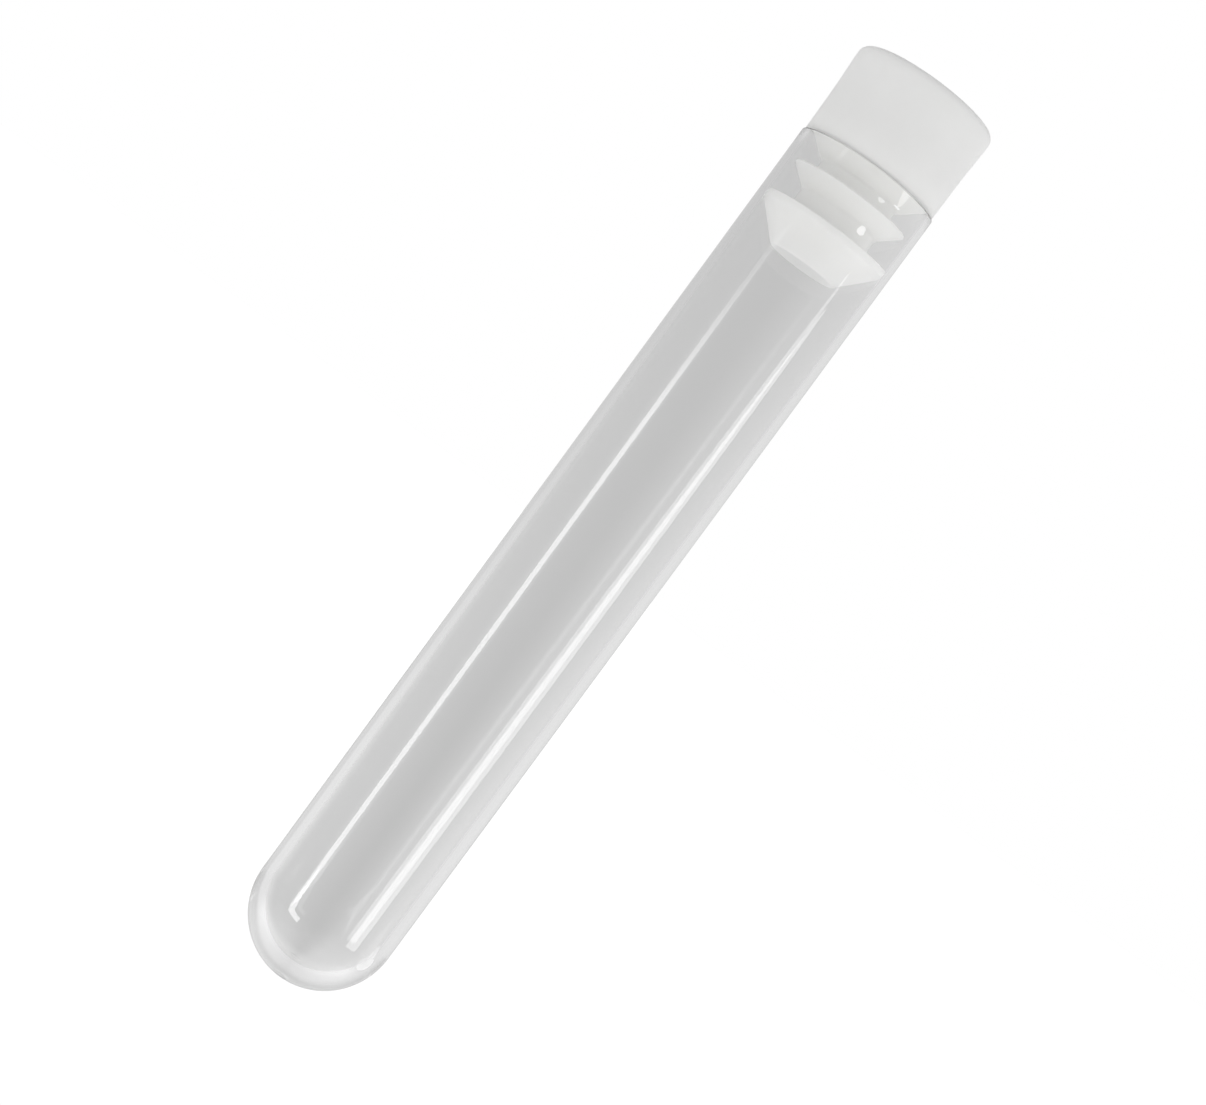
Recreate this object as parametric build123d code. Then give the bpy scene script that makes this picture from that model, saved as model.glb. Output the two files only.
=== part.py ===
from build123d import *
import os

# Clear moulded round-bottom test tube with a push-in hollow stopper. Millimetres.
# +Z runs along the tube towards its mouth, and the origin is the lowest point of the round bottom.

# tube
TUBE_LENGTH = 100.0        # tip of the round bottom to the flat of the mouth
MOUTH_RADIUS = 8.0         # outside, over the parallel part that a rack or a clip holds
PARALLEL_LENGTH = 20.0     # from the mouth down; the wall tapers below it
BOTTOM_RADIUS = 7.88       # outside, where the round bottom starts
BORE_MOUTH_RADIUS = 7.3    # the bore narrows steadily, so that the moulding leaves its core
BORE_BOTTOM_RADIUS = 6.6
FLOOR_THICKNESS = 1.75     # on the axis
MOUTH_EDGE_RADIUS = 0.2

# stopper head
HEAD_HEIGHT = 10.3
HEAD_BASE_RADIUS = 7.82
HEAD_WAIST_RADIUS = 7.87   # where the nearly straight side starts to flare
HEAD_WAIST_HEIGHT = 5.0    # above the mouth of the tube
HEAD_RIM_RADIUS = 8.05
RIM_BAND_HEIGHT = 1.3
HEAD_WALL = 1.05
HEAD_FLOOR = 1.4           # above the mouth of the tube
RIM_OUTER_EDGE = 0.8
RIM_INNER_EDGE = 0.2

# stopper plug, with depths below the mouth of the tube
SHOULDER_RADIUS = 7.05
SHOULDER_DEPTH = 1.5
NECK_RADIUS = 4.5
UPPER_RING_RADIUS = 6.85
UPPER_RING_TOP = 3.0
UPPER_RING_END = 4.9
LOWER_RING_TOP = 7.0
LOWER_RING_LAND = 0.75     # height of the band that touches the bore
NOSE_RADIUS = 3.8
PLUG_DEPTH = 11.2
RING_CLEARANCE = 0.03      # between the lower ring and the bore
WELL_TOP_RADIUS = 3.5
WELL_BOTTOM_RADIUS = 3.25
WELL_FLOOR = 1.3

TINY = 0.001               # for telling two sizes apart


def bore_radius(height):
    """Radius of the tapered bore at a height above the origin."""
    low, high = bore_start(), TUBE_LENGTH
    share = (height - low) / (high - low)
    return BORE_BOTTOM_RADIUS + share * (BORE_MOUTH_RADIUS - BORE_BOTTOM_RADIUS)


def bore_start():
    """Height of the centre of the bore's round end."""
    return FLOOR_THICKNESS + BORE_BOTTOM_RADIUS


def turned(outline):
    """A solid of revolution about Z from a closed outline in the XZ plane."""
    return revolve(Plane.XZ * make_face(outline), axis=Axis.Z)


def rounded(solid, height, circle, edge):
    """Round the circular edge of a solid that has this height and this radius."""
    rims = solid.edges().filter_by(GeomType.CIRCLE)
    rim = [e for e in rims if abs(e.center().Z - height) < TINY and abs(e.radius - circle) < TINY]
    return fillet(rim, edge)


def tube():
    """One moulding: parallel mouth, tapered wall and round bottom, with a tapered bore."""
    outside = CenterArc((0, BOTTOM_RADIUS), BOTTOM_RADIUS, -90, 90)
    bore_end = CenterArc((0, bore_start()), BORE_BOTTOM_RADIUS, -90, 90)
    wall = Polyline(
        (BOTTOM_RADIUS, BOTTOM_RADIUS),
        (MOUTH_RADIUS, TUBE_LENGTH - PARALLEL_LENGTH),
        (MOUTH_RADIUS, TUBE_LENGTH),
        (BORE_MOUTH_RADIUS, TUBE_LENGTH),
        (BORE_BOTTOM_RADIUS, bore_start()),
    )
    floor = Line((0, 0), (0, FLOOR_THICKNESS))
    solid = rounded(turned([outside, wall, bore_end, floor]), TUBE_LENGTH, MOUTH_RADIUS, MOUTH_EDGE_RADIUS)
    return rounded(solid, TUBE_LENGTH, BORE_MOUTH_RADIUS, MOUTH_EDGE_RADIUS)


def stopper():
    """One soft moulding: an open cup for the fingers, and a hollow plug with two sealing rings."""
    mouth = TUBE_LENGTH
    top = mouth + HEAD_HEIGHT
    land_top = mouth - LOWER_RING_TOP
    land_end = land_top - LOWER_RING_LAND
    seal_radius = bore_radius(land_end) - RING_CLEARANCE
    nose = mouth - PLUG_DEPTH
    outline = Polyline(
        (0, nose),
        (NOSE_RADIUS, nose),
        (seal_radius, land_end),
        (seal_radius, land_top),
        (NECK_RADIUS, land_top),
        (NECK_RADIUS, mouth - UPPER_RING_END),
        (UPPER_RING_RADIUS, mouth - UPPER_RING_TOP),
        (NECK_RADIUS, mouth - UPPER_RING_TOP),
        (NECK_RADIUS, mouth - SHOULDER_DEPTH),
        (SHOULDER_RADIUS, mouth),
        (HEAD_BASE_RADIUS, mouth),
        (HEAD_WAIST_RADIUS, mouth + HEAD_WAIST_HEIGHT),
        (HEAD_RIM_RADIUS, top - RIM_BAND_HEIGHT),
        (HEAD_RIM_RADIUS, top),
        (HEAD_RIM_RADIUS - HEAD_WALL, top),
        (HEAD_BASE_RADIUS - HEAD_WALL, mouth + HEAD_FLOOR),
        (WELL_TOP_RADIUS, mouth + HEAD_FLOOR),
        (WELL_BOTTOM_RADIUS, nose + WELL_FLOOR),
        (0, nose + WELL_FLOOR),
        (0, nose),
    )
    solid = rounded(turned([outline]), top, HEAD_RIM_RADIUS, RIM_OUTER_EDGE)
    return rounded(solid, top, HEAD_RIM_RADIUS - HEAD_WALL, RIM_INNER_EDGE)


os.makedirs("parts", exist_ok=True)
for name, make in {"tube": tube, "stopper": stopper}.items():
    export_step(make(), f"parts/{name}.step")
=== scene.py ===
import bpy
import math
from mathutils import Matrix, Vector


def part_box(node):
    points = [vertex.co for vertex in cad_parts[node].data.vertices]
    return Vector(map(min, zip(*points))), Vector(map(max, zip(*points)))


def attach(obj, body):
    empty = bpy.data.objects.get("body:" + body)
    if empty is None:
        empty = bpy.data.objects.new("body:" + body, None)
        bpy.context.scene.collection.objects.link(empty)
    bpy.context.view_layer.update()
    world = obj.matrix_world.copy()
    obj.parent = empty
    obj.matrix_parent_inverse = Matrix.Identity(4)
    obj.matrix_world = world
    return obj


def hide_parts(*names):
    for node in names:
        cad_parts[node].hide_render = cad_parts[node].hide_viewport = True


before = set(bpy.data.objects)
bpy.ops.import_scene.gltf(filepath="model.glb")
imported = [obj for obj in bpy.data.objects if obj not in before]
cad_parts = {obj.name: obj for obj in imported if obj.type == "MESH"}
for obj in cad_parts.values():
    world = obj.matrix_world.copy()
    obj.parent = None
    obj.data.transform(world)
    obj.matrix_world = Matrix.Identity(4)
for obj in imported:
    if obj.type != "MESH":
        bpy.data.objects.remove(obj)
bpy.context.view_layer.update()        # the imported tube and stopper, each on its own body
MM = 0.001

# The tube stands upright on the tip of its round bottom, with its mouth and stopper at the top.
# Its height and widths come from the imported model, and the sizes below are in millimetres.
TUBE_LOW, TUBE_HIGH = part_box("tube")
STOPPER_LOW, STOPPER_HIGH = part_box("stopper")
TUBE_LENGTH = TUBE_HIGH[2] / MM
MOUTH_RADIUS = TUBE_HIGH[0] / MM
HEAD_TOP = STOPPER_HIGH[2] / MM
NOSE = STOPPER_LOW[2] / MM
HEAD_RIM_RADIUS = STOPPER_HIGH[1] / MM

# tube wall
PARALLEL_LENGTH = 20.0
BOTTOM_RADIUS = 7.88
BORE_MOUTH_RADIUS = 7.3
BORE_BOTTOM_RADIUS = 6.6
FLOOR_THICKNESS = 1.75
MOUTH_EDGE = 0.08
GATE_DISH_RADIUS = 1.0
GATE_DISH_DEPTH = 0.03
GATE_NUB_RADIUS = 0.35
WALL_STEP = 2.0            # distance between rows of points along the wall

# stopper
SHOULDER_RADIUS = 7.05
SHOULDER_DEPTH = 1.5
NECK_RADIUS = 4.5
UPPER_RING_RADIUS = 6.85
UPPER_RING_TOP = 3.0
UPPER_RING_END = 4.9
LOWER_RING_TOP = 7.0
LOWER_RING_LAND = 0.75
RING_CLEARANCE = 0.03
NOSE_RADIUS = 3.8
HEAD_BASE_RADIUS = 7.82
HEAD_WAIST_RADIUS = 7.87
HEAD_WAIST_HEIGHT = 5.0
RIM_BAND_HEIGHT = 1.3
RIM_OUTER_EDGE = 0.8
RIM_INNER_EDGE = 0.2
SEAT_GAP = 0.01            # light gets in between the head and the mouth that it sits on
HEAD_WALL = 1.05
HEAD_FLOOR = 1.4
WELL_TOP_RADIUS = 3.5
WELL_BOTTOM_RADIUS = 3.25
WELL_FLOOR = 1.3


def linear(hex_colour, alpha=1.0):
    """An sRGB hex colour as the linear values that a node takes."""
    parts = [int(hex_colour[i:i + 2], 16) / 255 for i in (1, 3, 5)]
    return [p / 12.92 if p <= 0.04045 else ((p + 0.055) / 1.055) ** 2.4 for p in parts] + [alpha]


def add(tree, kind, inputs=None, **settings):
    """Add a node with its settings, and give each input a value or a link."""
    made = tree.nodes.new(kind)
    for name, value in settings.items():
        setattr(made, name, value)
    for key, value in (inputs or {}).items():
        if isinstance(value, bpy.types.NodeSocket):
            tree.links.new(value, made.inputs[key])
        else:
            made.inputs[key].default_value = value
    return made


# ---------------------------------------------------------------- outlines

def arc(centre, radius, start, end, steps):
    """Points of an arc about a centre, from one angle to another in degrees."""
    points = []
    for i in range(steps + 1):
        angle = math.radians(start + (end - start) * i / steps)
        points.append(Vector(centre) + radius * Vector((math.cos(angle), math.sin(angle))))
    return points


def rounded(before, corner, after, radius, steps=6):
    """Points of the round that is left at a corner of a mould."""
    back = (before - corner).normalized()
    on = (after - corner).normalized()
    half = back.angle(on) / 2
    centre = corner + (back + on).normalized() * radius / math.sin(half)
    first = corner + back * radius / math.tan(half) - centre
    turn = math.pi - 2 * half
    side = 1 if on.cross(back) > 0 else -1
    return [centre + Matrix.Rotation(side * turn * i / steps, 2) @ first for i in range(steps + 1)]


def outline(corners, step=WALL_STEP):
    """A line through corners given as (radius, height, round), with its long stretches divided."""
    places = [Vector(c[:2]) for c in corners]
    path = [places[0]]
    for i in range(1, len(places)):
        if i < len(places) - 1 and corners[i][2]:
            bend = rounded(places[i - 1], places[i], places[i + 1], corners[i][2])
        else:
            bend = [places[i]]
        start = path[-1]
        parts = max(1, round((bend[0] - start).length / step))
        path += [start.lerp(bend[0], k / parts) for k in range(1, parts)] + bend
    return path


def bore_start():
    return FLOOR_THICKNESS + BORE_BOTTOM_RADIUS


def bore_radius(height):
    share = (height - bore_start()) / (TUBE_LENGTH - bore_start())
    return BORE_BOTTOM_RADIUS + share * (BORE_MOUTH_RADIUS - BORE_BOTTOM_RADIUS)


def tube_outline():
    """From the gate mark up the outside, over the mouth and down the bore to the axis."""
    bore_end = arc((0, bore_start()), BORE_BOTTOM_RADIUS, -90, 0, 48)
    wall = outline([
        (BORE_BOTTOM_RADIUS, bore_start(), 0),
        (BORE_MOUTH_RADIUS, TUBE_LENGTH, MOUTH_EDGE),
        (MOUTH_RADIUS, TUBE_LENGTH, MOUTH_EDGE),
        (MOUTH_RADIUS, TUBE_LENGTH - PARALLEL_LENGTH, 200.0),
        (BOTTOM_RADIUS, BOTTOM_RADIUS, 0),
    ])
    edge = math.degrees(math.asin(GATE_DISH_RADIUS / BOTTOM_RADIUS))
    bottom = arc((0, BOTTOM_RADIUS), BOTTOM_RADIUS, 0, edge - 90, 54)
    lip = bottom[-1].y
    dish = lip + GATE_DISH_DEPTH
    gate = outline([
        (bottom[-2].x, bottom[-2].y, 0),
        (bottom[-1].x, lip, 0.5),
        (GATE_DISH_RADIUS - 0.4, dish, 0.4),
        (GATE_NUB_RADIUS + 0.1, dish, 0.06),
        (GATE_NUB_RADIUS, dish - 0.05, 0.08),
        (0, dish - 0.06, 0),
    ], step=0.15)
    return (bore_end + wall[1:] + bottom[1:-2] + gate)[::-1]


def stopper_outline():
    """Out along the nose, up over both rings and the head, and down the inside of the cup and the well."""
    mouth = TUBE_LENGTH
    land_top = mouth - LOWER_RING_TOP
    land_end = land_top - LOWER_RING_LAND
    seal = bore_radius(land_end) - RING_CLEARANCE
    return outline([
        (0, NOSE, 0),
        (NOSE_RADIUS, NOSE, 0.35),
        (seal, land_end, 0.3),
        (seal, land_top, 0.12),
        (NECK_RADIUS, land_top, 0.3),
        (NECK_RADIUS, mouth - UPPER_RING_END, 0.6),
        (UPPER_RING_RADIUS, mouth - UPPER_RING_TOP, 0.1),
        (NECK_RADIUS, mouth - UPPER_RING_TOP, 0.3),
        (NECK_RADIUS, mouth - SHOULDER_DEPTH, 0.4),
        (SHOULDER_RADIUS, mouth + SEAT_GAP, 0.1),
        (HEAD_BASE_RADIUS, mouth + SEAT_GAP, 0.05),
        (HEAD_WAIST_RADIUS, mouth + HEAD_WAIST_HEIGHT, 60.0),
        (HEAD_RIM_RADIUS, HEAD_TOP - RIM_BAND_HEIGHT, 2.0),
        (HEAD_RIM_RADIUS, HEAD_TOP, RIM_OUTER_EDGE),
        (HEAD_RIM_RADIUS - HEAD_WALL, HEAD_TOP, RIM_INNER_EDGE),
        (HEAD_BASE_RADIUS - HEAD_WALL, mouth + HEAD_FLOOR, 0.8),
        (WELL_TOP_RADIUS, mouth + HEAD_FLOOR, 0.4),
        (WELL_BOTTOM_RADIUS, NOSE + WELL_FLOOR, 0.6),
        (0, NOSE + WELL_FLOOR, 0),
    ], step=0.4)


# ---------------------------------------------------------------- turning an outline about the axis

def turning_tree():
    """Sweep an outline once about the axis, with slow waves in the walls that it marks."""
    tree = bpy.data.node_groups.new("turned_moulding", "GeometryNodeTree")
    tree.is_modifier = True
    for name, kind in {
        "Outline": "Geometry", "Steps round": "Int", "Wave depth": "Float", "Wave length": "Float",
        "Wave stretch": "Float", "Seed": "Float", "Material": "Material",
    }.items():
        tree.interface.new_socket(name, in_out="INPUT", socket_type="NodeSocket" + kind)
    tree.interface.new_socket("Moulding", in_out="OUTPUT", socket_type="NodeSocketGeometry")
    given = add(tree, "NodeGroupInput").outputs

    def maths(operation, *values):
        return add(tree, "ShaderNodeMath", dict(enumerate(values)), operation=operation).outputs[0]

    # a flat sheet, one column for each step round and one row for each point of the outline
    rows = add(tree, "GeometryNodeAttributeDomainSize", {"Geometry": given["Outline"]}).outputs["Point Count"]
    columns = maths("ADD", given["Steps round"], 1)
    sheet = add(tree, "GeometryNodeMeshGrid", {
        "Size X": 1.0, "Size Y": 1.0, "Vertices X": columns, "Vertices Y": rows}).outputs
    flat = add(tree, "ShaderNodeSeparateXYZ", {"Vector": add(tree, "GeometryNodeInputPosition").outputs[0]}).outputs
    angle = maths("MULTIPLY", maths("ADD", flat["X"], 0.5), math.tau)
    row = maths("ROUND", maths("MULTIPLY", maths("ADD", flat["Y"], 0.5), maths("SUBTRACT", rows, 1)))
    here = add(tree, "GeometryNodeInputPosition").outputs[0]
    place = add(tree, "GeometryNodeSampleIndex", {
        "Geometry": given["Outline"], "Value": here, "Index": row}, data_type="FLOAT_VECTOR").outputs[0]
    place = add(tree, "ShaderNodeSeparateXYZ", {"Vector": place}).outputs
    marked = add(tree, "GeometryNodeInputNamedAttribute", {"Name": "waves"}, data_type="FLOAT").outputs["Attribute"]
    marked = add(tree, "GeometryNodeSampleIndex", {
        "Geometry": given["Outline"], "Value": marked, "Index": row}, data_type="FLOAT").outputs[0]

    # the waves: noise read on a circle, so that they close at the seam, and drawn out along the axis
    cosine, sine = maths("COSINE", angle), maths("SINE", angle)
    where = add(tree, "ShaderNodeCombineXYZ", {
        "X": maths("MULTIPLY", cosine, place["X"]),
        "Y": maths("MULTIPLY", sine, place["X"]),
        "Z": maths("DIVIDE", place["Z"], given["Wave stretch"])}).outputs[0]
    noise = add(tree, "ShaderNodeTexNoise", {
        "Vector": where, "W": given["Seed"], "Scale": maths("DIVIDE", 1.0, given["Wave length"]),
        "Detail": 1.0}, noise_dimensions="4D").outputs[0]
    radius = maths("SUBTRACT", place["X"], maths("MULTIPLY", maths("MULTIPLY", noise, marked), given["Wave depth"]))
    turned = add(tree, "ShaderNodeCombineXYZ", {
        "X": maths("MULTIPLY", cosine, radius), "Y": maths("MULTIPLY", sine, radius), "Z": place["Z"]}).outputs[0]

    mapped = add(tree, "GeometryNodeStoreNamedAttribute", {
        "Geometry": sheet["Mesh"], "Name": "UVMap", "Value": sheet["UV Map"]},
        data_type="FLOAT2", domain="CORNER").outputs[0]
    shaped = add(tree, "GeometryNodeSetPosition", {"Geometry": mapped, "Position": turned}).outputs[0]
    closed = add(tree, "GeometryNodeMergeByDistance", {"Geometry": shaped, "Distance": 0.001 * MM}).outputs[0]
    smooth = add(tree, "GeometryNodeSetShadeSmooth", {"Geometry": closed}).outputs[0]
    real = add(tree, "GeometryNodeRealizeInstances", {"Geometry": smooth}).outputs[0]
    finished = add(tree, "GeometryNodeSetMaterial", {"Geometry": real, "Material": given["Material"]}).outputs[0]
    add(tree, "NodeGroupOutput", {"Moulding": finished})
    return tree


def turn(name, tree, points, waves, **inputs):
    """A plain closed mesh from an outline, given as (radius, height) points and how wavy each one is."""
    line = bpy.data.meshes.new(name)
    line.from_pydata([(p.x * MM, 0, p.y * MM) for p in points], [(i, i + 1) for i in range(len(points) - 1)], [])
    line.attributes.new("waves", "FLOAT", "POINT").data.foreach_set("value", waves)
    piece = bpy.data.objects.new(name, line)
    bpy.context.scene.collection.objects.link(piece)
    turning = piece.modifiers.new("turning", "NODES")
    turning.node_group = tree
    sockets = {s.name: s.identifier for s in tree.interface.items_tree if s.in_out == "INPUT"}
    for label, value in inputs.items():
        turning[sockets[label.replace("_", " ")]] = value
    seen = piece.evaluated_get(bpy.context.evaluated_depsgraph_get())
    finished = bpy.data.meshes.new_from_object(seen)
    piece.modifiers.clear()
    piece.data = finished
    return piece


# ---------------------------------------------------------------- materials

def new_material(name):
    material = bpy.data.materials.new(name)
    material.use_nodes = True
    material.node_tree.nodes.clear()
    return material, material.node_tree


def clear_polystyrene():
    """Clear polystyrene, injection moulded: glass-bright skin, bent light at the wall, faint flow marks."""
    material, tree = new_material("clear_polystyrene_moulded")
    place = add(tree, "ShaderNodeTexCoord").outputs["Object"]
    flow = add(tree, "ShaderNodeTexNoise", {"Vector": place, "Scale": 260.0, "Detail": 3.0}).outputs[0]
    skin = add(tree, "ShaderNodeBump", {"Strength": 0.08, "Distance": 0.02 * MM, "Height": flow}).outputs[0]
    surface = add(tree, "ShaderNodeBsdfPrincipled", {
        "Base Color": linear("#F7F7F7"), "Roughness": 0.0, "IOR": 1.59,
        "Transmission Weight": 1.0, "Normal": skin}).outputs[0]
    depth = add(tree, "ShaderNodeVolumeAbsorption", {"Color": linear("#DFDFDF"), "Density": 12.0}).outputs[0]
    add(tree, "ShaderNodeOutputMaterial", {"Surface": surface, "Volume": depth})
    return material


def white_polyethylene():
    """Natural low-density polyethylene, injection moulded: waxy, milky and lit from within at thin edges."""
    material, tree = new_material("natural_polyethylene_moulded")
    place = add(tree, "ShaderNodeTexCoord").outputs["Object"]
    cloud = add(tree, "ShaderNodeTexNoise", {"Vector": place, "Scale": 180.0, "Detail": 3.0}).outputs[0]
    colour = add(tree, "ShaderNodeMix", {
        "Factor": cloud, "A": linear("#F1F1EF"), "B": linear("#F8F8F6")}, data_type="RGBA")
    grain = add(tree, "ShaderNodeTexNoise", {"Vector": place, "Scale": 2500.0, "Detail": 2.0}).outputs[0]
    skin = add(tree, "ShaderNodeBump", {"Strength": 0.3, "Distance": 0.02 * MM, "Height": grain}).outputs[0]
    surface = add(tree, "ShaderNodeBsdfPrincipled", {
        "Roughness": 0.35, "IOR": 1.51, "Subsurface Weight": 1.0, "Subsurface Radius": (2.5, 2.5, 2.5),
        "Subsurface Scale": 1.0 * MM, "Normal": skin}).outputs[0]
    tree.links.new(colour.outputs[2], surface.node.inputs["Base Color"])
    add(tree, "ShaderNodeOutputMaterial", {"Surface": surface})
    return material


def ramp(tree, share, stops):
    """A grey level that runs through (angle from straight behind, level) stops as a share goes from 0 to 1."""
    made = add(tree, "ShaderNodeValToRGB", {"Fac": share})
    steps = made.color_ramp.elements
    while len(steps) < len(stops):
        steps.new(0.5)
    for step, (angle, level) in zip(steps, stops):
        step.position = 0.5 + angle / 360
        step.color = (level, level, level, 1)
    return made.outputs["Color"]


def white_board():
    """Pale matt laminate under the tube."""
    material, tree = new_material("pale_laminate_sheet")
    place = add(tree, "ShaderNodeTexCoord").outputs["Object"]
    grain = add(tree, "ShaderNodeTexNoise", {"Vector": place, "Scale": 300.0}).outputs[0]
    skin = add(tree, "ShaderNodeBump", {"Strength": 0.1, "Distance": 0.05 * MM, "Height": grain}).outputs[0]
    surface = add(tree, "ShaderNodeBsdfPrincipled", {
        "Base Color": linear("#5A5A5A"), "Roughness": 0.6, "Normal": skin,
        "Emission Color": linear("#FFFFFF"), "Emission Strength": 0.93}).outputs[0]
    add(tree, "ShaderNodeOutputMaterial", {"Surface": surface})
    return material


# ---------------------------------------------------------------- the two mouldings

tree = turning_tree()
tube_points = tube_outline()
tube_waves = [1.0 if 9 < p.y < TUBE_LENGTH - 12 else 0.0 for p in tube_points]
tube = turn("clear_tube", tree, tube_points, tube_waves, Steps_round=384, Wave_depth=0.015 * MM,
            Wave_length=6 * MM, Wave_stretch=5.0, Seed=3.0, Material=clear_polystyrene())
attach(tube, "tube")
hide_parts("tube")

stopper_points = stopper_outline()
stopper = turn("cup_stopper", tree, stopper_points, [0.0] * len(stopper_points), Steps_round=192,
               Wave_depth=0.0, Wave_length=6 * MM, Wave_stretch=1.0, Seed=5.0, Material=white_polyethylene())
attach(stopper, "stopper")
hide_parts("stopper")


# ---------------------------------------------------------------- floor, lights and camera

# how bright the tent is at each angle round from straight behind the tube, from left to right,
# first 10 degrees below level and then 5 degrees above it
TENT_LOW = [(-180, 0.55), (-60, 0.83), (-31, 0.87), (-26, 0.72), (-17, 0.66), (-11, 0.69), (-5, 0.69), (-2, 0.64), (0, 0.62),
            (1.5, 0.65), (3.5, 0.75), (11, 0.78), (24, 0.86), (60, 0.80), (180, 0.55)]
TENT_HIGH = [(-180, 0.55), (-60, 0.62), (-24, 0.62), (-11, 0.63), (-6, 0.65), (-2, 0.62), (0, 0.64),
             (2, 0.69), (3.5, 0.73), (11, 0.75), (24, 0.78), (60, 0.78), (180, 0.55)]
TENT_FLOOR = (0.78, 1.0)   # and straight below the tube, then below its sides
TENT_INSIDE = 1.5          # how much more the scattered light inside the tube gets
TENT_LEFT, TENT_RIGHT = 0.46, 0.66     # what the scattering white plastic is lit with


FAR_WALL = 0.2             # how much of each light the far wall of the tube mirrors, next to the near wall
NEAR_WALL_DEPTH = 4.5      # light off the near wall's two faces has passed fewer faces than this
OUTER_FACE_DEPTH = 2.5     # and light off its outer face alone, fewer than this


def floor():
    mesh = bpy.data.meshes.new("floor")
    half = 1.5
    mesh.from_pydata([(-half, -half, 0), (half, -half, 0), (half, half, 0), (-half, half, 0)], [], [(0, 1, 2, 3)])
    mesh.materials.append(white_board())
    sheet = bpy.data.objects.new("floor", mesh)
    bpy.context.scene.collection.objects.link(sheet)
    sheet.visible_transmission = False
    sheet.visible_glossy = False


def softbox(name, foot, head, width, radiance, shape="RECTANGLE", depth=NEAR_WALL_DEPTH, shade=(-2, -1)):
    """A soft light that runs from a foot to a head, and faces the middle of the tube.
    Each end is (angle from the camera's side, distance, height). A flag shades it, from nothing
    at the first height of its edge to full light at the second."""
    ends = [Vector((d * math.sin(math.radians(a)), -d * math.cos(math.radians(a)), h)) for a, d, h in (foot, head)]
    middle = (ends[0] + ends[1]) / 2
    along = (ends[1] - ends[0]).normalized()
    away = middle - Vector((0, 0, 0.05))
    across = along.cross(away).normalized()
    light = bpy.data.lights.new(name, "AREA")
    light.shape = shape
    light.size, light.size_y = width, (ends[1] - ends[0]).length
    area = light.size * light.size_y * (math.pi / 4 if shape == "ELLIPSE" else 1)
    light.energy = radiance * math.pi * area
    light.use_nodes = True
    tree = light.node_tree
    tree.nodes.clear()
    path = add(tree, "ShaderNodeLightPath").outputs
    far = add(tree, "ShaderNodeMath", {0: path["Ray Depth"], 1: depth}, operation="GREATER_THAN").outputs[0]
    plain = add(tree, "ShaderNodeMath", {0: path["Diffuse Depth"], 1: 0.5}, operation="LESS_THAN").outputs[0]
    mirrored = add(tree, "ShaderNodeMath", {0: far, 1: plain}, operation="MULTIPLY").outputs[0]
    strength = add(tree, "ShaderNodeMapRange", {"Value": mirrored, "To Min": 1.0, "To Max": FAR_WALL}).outputs[0]
    point = add(tree, "ShaderNodeNewGeometry").outputs["Position"]
    point = add(tree, "ShaderNodeSeparateXYZ", {"Vector": point}).outputs
    clear = add(tree, "ShaderNodeMapRange", {
        "Value": point["Z"], "From Min": shade[0], "From Max": shade[1]}).outputs[0]
    strength = add(tree, "ShaderNodeMath", {0: strength, 1: clear}, operation="MULTIPLY").outputs[0]
    add(tree, "ShaderNodeOutputLight", {"Surface": add(tree, "ShaderNodeEmission", {"Strength": strength}).outputs[0]})
    lamp = bpy.data.objects.new(name, light)
    bpy.context.scene.collection.objects.link(lamp)
    facing = Matrix((across, along, across.cross(along))).transposed().to_4x4()
    lamp.matrix_world = Matrix.Translation(middle) @ facing


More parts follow.
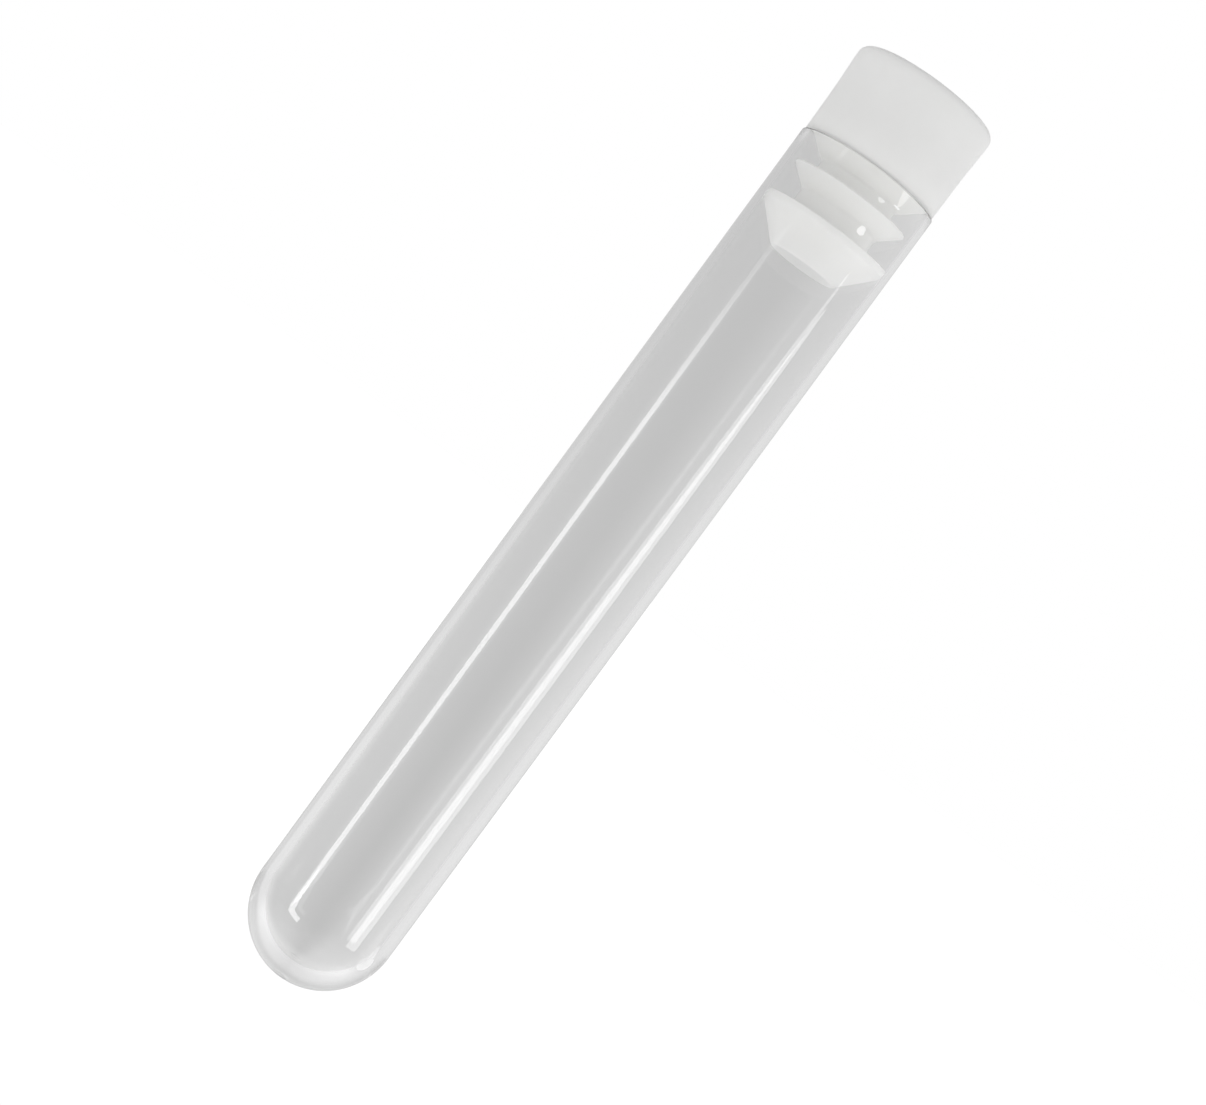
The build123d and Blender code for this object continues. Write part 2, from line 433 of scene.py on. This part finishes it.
def studio_air():
    """A white tent round the tube, dimmer straight behind it than to its sides."""
    world = bpy.data.worlds.new("studio")
    bpy.context.scene.world = world
    world.use_nodes = True
    tree = world.node_tree
    tree.nodes.clear()
    towards = add(tree, "ShaderNodeTexCoord").outputs["Generated"]
    part = add(tree, "ShaderNodeSeparateXYZ", {"Vector": towards}).outputs
    bearing = add(tree, "ShaderNodeMath", {0: part["X"], 1: part["Y"]}, operation="ARCTAN2").outputs[0]
    round_share = add(tree, "ShaderNodeMapRange", {
        "Value": bearing, "From Min": -math.pi, "From Max": math.pi}).outputs[0]
    height = add(tree, "ShaderNodeMapRange", {"Value": part["Z"], "From Min": -0.18, "From Max": 0.09}).outputs[0]
    walls = add(tree, "ShaderNodeMix", {
        "Factor": height, "A": ramp(tree, round_share, TENT_LOW), "B": ramp(tree, round_share, TENT_HIGH)},
        data_type="FLOAT").outputs[0]
    below = add(tree, "ShaderNodeMapRange", {
        "Value": part["Z"], "From Min": -0.5, "From Max": -0.65, "To Min": 0.0, "To Max": 1.0}).outputs[0]
    aside = add(tree, "ShaderNodeMath", {0: part["X"]}, operation="ABSOLUTE").outputs[0]
    ground = add(tree, "ShaderNodeMapRange", {
        "Value": aside, "From Max": 0.5, "To Min": TENT_FLOOR[0], "To Max": TENT_FLOOR[1]}).outputs[0]
    room = add(tree, "ShaderNodeMix", {"Factor": below, "A": walls, "B": ground}, data_type="FLOAT").outputs[0]
    mirrored = add(tree, "ShaderNodeBackground", {"Color": linear("#FFFFFF"), "Strength": room}).outputs[0]
    side = add(tree, "ShaderNodeMapRange", {
        "Value": part["X"], "From Min": -1.0, "From Max": 1.0, "To Min": TENT_LEFT, "To Max": TENT_RIGHT}).outputs[0]
    path = add(tree, "ShaderNodeLightPath").outputs
    inside = add(tree, "ShaderNodeMapRange", {
        "Value": path["Transmission Depth"], "To Min": 1.0, "To Max": TENT_INSIDE}).outputs[0]
    side = add(tree, "ShaderNodeMath", {0: side, 1: inside}, operation="MULTIPLY").outputs[0]
    soft = add(tree, "ShaderNodeBackground", {"Color": linear("#FFFFFF"), "Strength": side}).outputs[0]
    white = add(tree, "ShaderNodeBackground", {"Color": linear("#FFFFFF"), "Strength": 1.0}).outputs[0]
    scattered = add(tree, "ShaderNodeMath", {0: path["Diffuse Depth"], 1: 0.5}, operation="GREATER_THAN").outputs[0]
    both = add(tree, "ShaderNodeMixShader", {0: scattered, 1: mirrored, 2: soft}).outputs[0]
    both = add(tree, "ShaderNodeMixShader", {0: path["Is Camera Ray"], 1: both, 2: white}).outputs[0]
    add(tree, "ShaderNodeOutputWorld", {"Surface": both})


def camera():
    """Level with the upper half of the tube and rolled, so that the tube leans to the right."""
    lens = bpy.data.cameras.new("camera")
    lens.lens = 71.1
    lens.sensor_width = 36.0
    lens.clip_start, lens.clip_end = 0.01, 10
    eye = Vector((1.03, -240, 61)) * MM
    aim = Vector((1.03, 0, 53.9)) * MM
    ahead = (aim - eye).normalized()
    right = ahead.cross(Vector((0, 0, 1))).normalized()
    up = right.cross(ahead)
    roll = math.radians(36.3)
    across = right * math.cos(roll) + up * math.sin(roll)
    upward = up * math.cos(roll) - right * math.sin(roll)
    turned = Matrix((across, upward, -ahead)).transposed().to_4x4()
    holder = bpy.data.objects.new("camera", lens)
    holder.matrix_world = Matrix.Translation(eye) @ turned
    bpy.context.scene.collection.objects.link(holder)
    bpy.context.scene.camera = holder


floor()
softbox("left_strip", (-46.2, 0.5, -0.108), (-50.4, 0.5, 0.155), 0.066, 5.0,
        depth=OUTER_FACE_DEPTH, shade=(0.155, 0.080))
softbox("left_strip_foot", (-26, 0.5, -0.186), (-48, 0.5, -0.124), 0.074, 5.2, depth=OUTER_FACE_DEPTH)
softbox("right_softbox", (56, 0.5, -0.36), (69.7, 0.5, 0.138), 0.155, 2.95, "ELLIPSE", shade=(-0.123, -0.113))
softbox("right_spot", (107, 0.5, -0.25), (107, 0.5, -0.100), 0.26, 1.4, "ELLIPSE", depth=OUTER_FACE_DEPTH)
softbox("upper_lamp", (63, 0.5, 0.180), (63, 0.5, 0.185), 0.120, 7.0, "ELLIPSE")
softbox("lower_lamp", (40, 0.5, 0.163), (40, 0.5, 0.166), 0.110, 5.0, "ELLIPSE")
studio_air()
camera()
bpy.context.scene.view_settings.view_transform = "Standard"
for way in ("max_bounces", "transmission_bounces", "glossy_bounces"):
    setattr(bpy.context.scene.cycles, way, 400)
bpy.context.scene.cycles.blur_glossy = 0.0       # so that light gets in through the tube's wall to the plug
